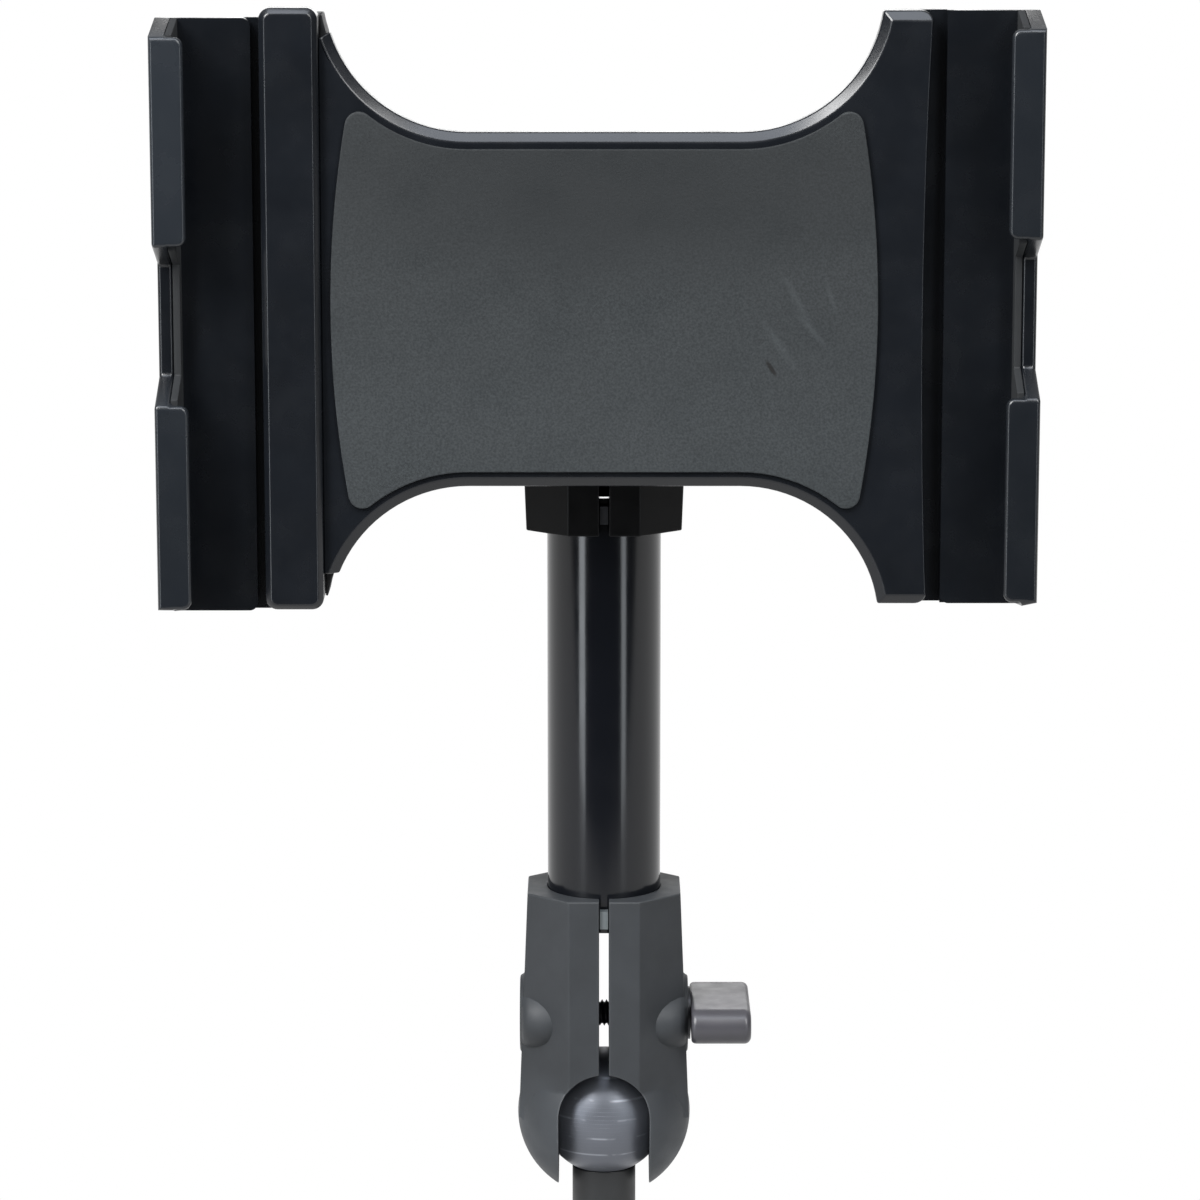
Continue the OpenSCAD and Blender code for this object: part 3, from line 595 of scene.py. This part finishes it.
# %% Swellings round the clamp screws
SWELLING_SIDES = 48
SWELLING_ROWS = (  # distance from the arm's axis, half length and half height, in mm
    (10.6, 12.4, 7.6), (11.5, 13.0, 8.0), (13.0, 13.3, 8.3), (15.0, 13.0, 8.3),
    (17.0, 12.0, 8.0), (18.0, 11.0, 7.7), (18.7, 9.6, 7.2),
)


def swelling(half, washer, side, material):
    """A loft from inside a clamp half out to its washer's seat."""
    low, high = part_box(half)
    seat_low, seat_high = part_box(washer)
    middle = Vector((0, (low.y + high.y) / 2, (seat_low.z + seat_high.z) / 2))
    bm = bmesh.new()
    rings = []
    for x_mm, length_mm, tall_mm in SWELLING_ROWS:
        ring = []
        for i in range(SWELLING_SIDES):
            angle = 2 * pi * i / SWELLING_SIDES
            corner = Vector((side * x_mm, length_mm * sin(angle), tall_mm * cos(angle)))
            ring.append(bm.verts.new(middle + corner * MM))
        rings.append(ring)
    loft(bm, rings)
    bmesh.ops.recalc_face_normals(bm, faces=bm.faces)
    piece = new_piece(half + "_swelling", bm, material)
    even_normals(piece.data, SMOOTH_LIMIT)
    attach(piece, BODY_OF[half])


for level, coat in (("lower", clamp_metal), ("upper", painted_shade_clamp_metal)):
    swelling(level + "_clamp_left", level + "_washer", -1, coat)
    swelling(level + "_clamp_right", level + "_washer", 1, coat)
print("each swelling reaches", SWELLING_ROWS[-1][0], "mm out from the arm's axis")

# %% [markdown]
# Turned and threaded parts are drawn as rings along an axis. A ring's radius can be a
# number, or a rule that gives the radius at each angle, so the same helper turns a round
# head, cuts a hexagon socket into it and winds a thread round a screw.

# %% Helper for turned parts
def rings_along(bm, origin, axis, rows, count):
    """Joins rings round an axis. Each row is (distance along the axis, radius or rule)."""
    axis = Vector(axis).normalized()
    side = axis.orthogonal().normalized()
    up = axis.cross(side)
    rings = []
    for along, radius in rows:
        ring = []
        for i in range(count):
            angle = 2 * pi * i / count
            reach = radius(angle) if callable(radius) else radius
            outwards = side * cos(angle) + up * sin(angle)
            ring.append(bm.verts.new(origin + axis * along + outwards * reach))
        rings.append(ring)
    loft(bm, rings)


# %% [markdown]
# The back of the cradle is held by four kinds of screw. The box of each screw in the packed
# model gives its place and its head, and the shank is the size that the node is drilled
# for. The socket could be cut out with a boolean, but as the last two rings of the same
# loft it leaves clean faces.

# %% Helpers for screws
HEAD_SIDES = 36


def hexagon(across_flats):
    """The radius of a hexagon at an angle."""
    def radius(angle):
        return across_flats / 2 / cos((angle + pi / 6) % (pi / 3) - pi / 6)
    return radius


def socket_screw(bm, low, high, shank):
    """A screw along Y with its head on the far side and a hexagon socket in it."""
    head = (high.x - low.x) / 2
    depth = 0.6 * shank
    middle = Vector(((low.x + high.x) / 2, 0, (low.z + high.z) / 2))
    under = high.y - depth
    key = hexagon(head * 0.9)
    rings_along(bm, middle, (0, 1, 0), [
        (low.y, shank * 0.36), (low.y + shank * 0.14, shank / 2), (under, shank / 2),
        (under, head), (high.y - 0.3 * MM, head), (high.y - 0.08 * MM, head - 0.1 * MM),
        (high.y, head - 0.3 * MM), (high.y, key), (high.y - depth * 0.6, key),
    ], HEAD_SIDES)


def islands(bm):
    """The boxes of a mesh's separate pieces."""
    left = set(bm.verts)
    while left:
        group, edge = set(), [left.pop()]
        while edge:
            vert = edge.pop()
            group.add(vert)
            near = {e.other_vert(vert) for e in vert.link_edges} & left
            left -= near
            edge.extend(near)
        xs, ys, zs = zip(*(v.co for v in group))
        yield Vector((min(xs), min(ys), min(zs))), Vector((max(xs), max(ys), max(zs)))


# %% Screws on the back
SHANK_MM = {"plate_screws": 4, "cover_screws": 3, "end_cap_screws": 3, "right_jaw_screws": 3}
for node, shank_mm in SHANK_MM.items():
    source = bmesh.new()
    source.from_mesh(frame["nodes"][node].data)
    bmesh.ops.remove_doubles(source, verts=source.verts, dist=WELD_MM * MM)
    bm = bmesh.new()
    boxes = list(islands(source))
    for low, high in boxes:
        socket_screw(bm, low, high, shank_mm * MM)
    source.free()
    stand_for(node + "_finished", bm, node)
    print(len(boxes), node)

# %% [markdown]
# Each clamp is closed by a wing knob on an M6 screw, which shows in the split. The thread
# is a ring whose radius rises and falls once per millimetre, turned a little further on
# each ring. The wing is long from front to back and its edges are rounded for the hand.

# %% Helpers for the wing knobs
SCREW_RADIUS = 3.0 * MM
THREAD_DEPTH = 0.55 * MM
THREAD_PITCH = 1.0 * MM
THREAD_STEP = 0.125 * MM
THREAD_RUN_IN = 0.9 * MM
WING_HALF_THICK = 4 * MM
WING_ROUNDING = 1.5 * MM
WING_BOW = 0.7 * MM
WING_ROWS = (  # distance from the collar, half length and inset of the height, in mm
    (0, 14.2, 0.6), (0.2, 14.6, 0.3), (0.6, 14.9, 0.05), (1.2, 15.0, 0), (4.0, 15.0, 0),
)


def thread(radius, depth, along):
    """The radius round a screw at one place along it."""
    def rule(angle):
        turn = (along / THREAD_PITCH - angle / (2 * pi)) % 1
        return radius - depth * min(1, abs(turn - 0.5) * 3.2) ** 1.4
    return rule


def stadium(bm, x, middle, half_len, half_t, bow=0, count=10):
    """A ring across the wing, long in Y with round ends, hollowed by bow in its middle."""
    ring = []
    for side in (1, -1):
        for i in range(count + 1):
            angle = -pi / 2 + pi * i / count
            y = side * (half_len - half_t + half_t * cos(angle))
            z = side * half_t * sin(angle)
            inwards = bow * (1 - abs(y) / half_len) ** 2
            ring.append(bm.verts.new(middle + Vector((x - middle.x - inwards, y, z))))
    return ring


# %% Wing knobs with threaded screws
def wing_knob(node, washer):
    """A knob that stands for a node: threaded screw and wing along X."""
    low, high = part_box(node)
    collar_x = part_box(washer)[1].x
    middle = Vector((0, (low.y + high.y) / 2, (low.z + high.z) / 2))
    bm = bmesh.new()
    rows, along = [], low.x
    while along < collar_x + 0.3 * MM:
        ease = min(1.0, (along - low.x) / THREAD_RUN_IN)
        radius = SCREW_RADIUS - 0.5 * MM * (1 - ease)
        rows.append((along, thread(radius, THREAD_DEPTH * ease, along)))
        along += THREAD_STEP
    rings_along(bm, middle, (1, 0, 0), rows, 24)
    for face in bm.faces:
        face.material_index = 1
    wing_x = collar_x + 0.1 * MM
    half, thick = (high.y - low.y) / 2, WING_HALF_THICK
    rings = [
        stadium(bm, wing_x + x * MM, middle, min(half, y * MM), thick - inset * MM)
        for x, y, inset in WING_ROWS
    ]
    for i in range(7):
        angle = i * pi / 12
        inset = WING_ROUNDING * (1 - cos(angle))
        x = high.x - WING_ROUNDING * (1 - sin(angle))
        rings.append(stadium(bm, x, middle, half - inset, thick - inset, WING_BOW * i / 6))
    loft(bm, rings)
    piece = stand_for(node + "_finished", bm, node, smooth=radians(40))
    piece.data.materials.append(dark_thread)
    print(node, "has", len(rows), "rings of thread")


wing_knob("lower_knob", "lower_washer")
wing_knob("upper_knob", "upper_washer")

# %% [markdown]
# Two closely wound springs draw the jaw in. A spring is a circle swept along a helix, with
# an eye round its post. A Screw modifier could wind it, but the eye needs a path of its own
# anyway. It joins the cradle to the jaw.

# %% Helper for wires
def sweep(bm, path, wire, count=7, closed=False):
    """Sweeps a circle of radius wire along a path of points."""
    points = [Vector(p) for p in path]
    total = len(points)
    side = None
    rings = []
    for i, point in enumerate(points):
        ahead = points[(i + 1) % total if closed else min(i + 1, total - 1)]
        behind = points[i - 1 if closed or i else 0]
        tangent = (ahead - behind).normalized()
        side = tangent.orthogonal() if side is None else side - tangent * side.dot(tangent)
        side.normalize()
        up = tangent.cross(side)
        ring = []
        for k in range(count):
            angle = 2 * pi * k / count
            outwards = side * cos(angle) + up * sin(angle)
            ring.append(bm.verts.new(point + outwards * wire))
        rings.append(ring)
    loft(bm, rings, closed)


# %% Jaw springs
COIL_RADIUS, WIRE_RADIUS, COIL_PITCH = 1.7 * MM, 0.28 * MM, 0.9 * MM
EYE_RADIUS = 1.9 * MM
POINTS_PER_TURN, EYE_POINTS = 14, 20
spring_low, spring_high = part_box("jaw_springs")
post_low, post_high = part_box("spring_posts")
post_x = (post_low.x + post_high.x) / 2
coil_y = (spring_low.y + spring_high.y) / 2
turns = int((post_x - 2.6 * MM - spring_low.x) / COIL_PITCH)
bm = bmesh.new()
for coil_z in (spring_low.z + 2.0 * MM, spring_high.z - 2.0 * MM):
    helix = []
    for i in range(turns * POINTS_PER_TURN + 1):
        angle = 2 * pi * i / POINTS_PER_TURN
        x = spring_low.x + WIRE_RADIUS + COIL_PITCH * i / POINTS_PER_TURN
        y, z = coil_y + COIL_RADIUS * cos(angle), coil_z + COIL_RADIUS * sin(angle)
        helix.append((x, y, z))
    helix.append((post_x - 2.2 * MM, coil_y, coil_z))
    sweep(bm, helix, WIRE_RADIUS)
    eye = []
    for i in range(EYE_POINTS):
        angle = 2 * pi * i / EYE_POINTS
        eye.append((post_x + EYE_RADIUS * cos(angle), coil_y, coil_z + EYE_RADIUS * sin(angle)))
    sweep(bm, eye, WIRE_RADIUS, closed=True)
bmesh.ops.recalc_face_normals(bm, faces=bm.faces)
springs = new_piece("jaw_springs_wound", bm, rod_steel)
fixed_end, moving_end = (post_x - 3 * MM, 0, 0), (spring_low.x + 1 * MM, 0, 0)
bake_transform(springs)
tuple(fixed_end)
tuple(moving_end)
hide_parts("jaw_springs")
print("two springs of", turns, "turns")

# %% [markdown]
# The tube, the balls, the rods and a few more nodes are already the shape of the real
# pieces. They stay as they are, and only get their finish and smooth shading.

# %% Finishes on the nodes that stay
for name, node in frame["nodes"].items():
    node.data.materials.clear()
    node.data.materials.append(OWN_MATERIAL.get(name) or DEFAULT_MATERIAL[SLOT_OF[name]])
    for face in node.data.polygons:
        face.use_smooth = True
    node.data.set_sharp_from_angle(angle=SMOOTH_LIMIT)
print(len(frame["nodes"]), "nodes have a finish")

# %% [markdown]
# The studio is white behind the holder and dim behind the camera, because black plastic
# shows what it faces. To the camera, the floor and the world are plain white. To all other
# rays, the world's brightness depends on its direction, and the floor ends in front of the
# holder: flat faces then mirror the dim room, while the faces that look up mirror the white
# wall, as in the photograph.

# %% Helper for the studio
def strength_by_ray(tree, to_others):
    """1 to the camera's rays, and a number or a node's output to all others."""
    node = add(tree, "ShaderNodeMix", data_type="FLOAT")
    camera_ray = add(tree, "ShaderNodeLightPath").outputs["Is Camera Ray"]
    tree.links.new(camera_ray, node.inputs[0])
    if isinstance(to_others, bpy.types.NodeSocket):
        tree.links.new(to_others, node.inputs[2])
    else:
        node.inputs[2].default_value = to_others
    node.inputs[3].default_value = 1.0
    return node.outputs[0]


# %% Floor
FLOOR_HALF = 3.0
FLOOR_FRONT = -0.34
floor_mesh = bpy.data.meshes.new("floor")
bm = bmesh.new()
bmesh.ops.create_grid(bm, x_segments=1, y_segments=1, size=FLOOR_HALF)
bmesh.ops.translate(bm, verts=bm.verts, vec=(0, FLOOR_HALF + FLOOR_FRONT, cad_low.z))
bm.to_mesh(floor_mesh)
bm.free()
floor = bpy.data.objects.new("floor", floor_mesh)
scene.collection.objects.link(floor)
paper, tree, shader = node_tree("floor_paper")
glow = add(tree, "ShaderNodeEmission")
tree.links.new(strength_by_ray(tree, 1.0), glow.inputs["Strength"])
tree.links.new(glow.outputs[0], tree.nodes["Material Output"].inputs["Surface"])
floor_mesh.materials.append(paper)
print("the floor begins", round(-FLOOR_FRONT / MM), "mm in front of the holder")

# %% World
world = bpy.data.worlds.new("studio")
world.use_nodes = True
scene.world = world
tree = world.node_tree
sky = tree.nodes["Background"]
sky.inputs["Color"].default_value = (1, 1, 1, 1)
direction = axes(tree, add(tree, "ShaderNodeTexCoord").outputs["Generated"])
behind = spread(tree, direction["Y"], 0.05, 0.5, 0.2, 0.95)
above = spread(tree, direction["Z"], 0.0, 0.35, 0.40, 0.75)
brightest = combine(tree, "MAXIMUM", behind, above)
tree.links.new(strength_by_ray(tree, brightest), sky.inputs["Strength"])
print("the world is", world.name)

# %% [markdown]
# Soft boxes draw the highlights. Two large ones, high on either side, light the fronts. Two
# narrow strips, low on either side, stand in the tube as its two long highlights, the left
# one stronger. A box overhead lights the faces that look up, and a weak one behind rims
# them. Small lamps would be simpler, but satin plastic would show them as hard spots.

# %% Soft boxes
COOL, SKY_BLUE, WHITE = (0.9, 0.95, 1.0), (0.84, 0.90, 1.0), (1, 1, 1)
SOFT_BOXES = (  # azimuth and elevation, distance, width and height in metres, watts, colour
    ("left_box", -44, 42, 1.2, 0.5, 0.7, 26, WHITE),
    ("right_box", 36, 42, 1.2, 0.4, 0.7, 11, WHITE),
    ("left_strip", -45, -4, 1.2, 0.26, 1.1, 6, COOL),
    ("right_strip", 40, -4, 1.2, 0.20, 1.1, 3.2, COOL),
    ("top_box", -8, 74, 1.2, 0.9, 0.6, 9, SKY_BLUE),
    ("back_box", 180, 13, 1.3, 1.2, 0.30, 2.6, WHITE),
)
for name, azimuth, elevation, distance, width, height, power, colour in SOFT_BOXES:
    light = bpy.data.lights.new(name, "AREA")
    light.color = colour
    light.shape = "RECTANGLE"
    light.size = width
    light.size_y = height
    light.energy = power
    lamp = bpy.data.objects.new(name, light)
    lamp.visible_camera = False
    a, e = radians(azimuth), radians(elevation)
    away = Vector((sin(a) * cos(e), -cos(a) * cos(e), sin(e)))
    lamp.location = AIM + away * distance
    lamp.rotation_mode = "QUATERNION"
    lamp.rotation_quaternion = away.to_track_quat("Z", "Y")
    scene.collection.objects.link(lamp)
scene.view_settings.view_transform = "Standard"
print(len(SOFT_BOXES), "soft boxes")
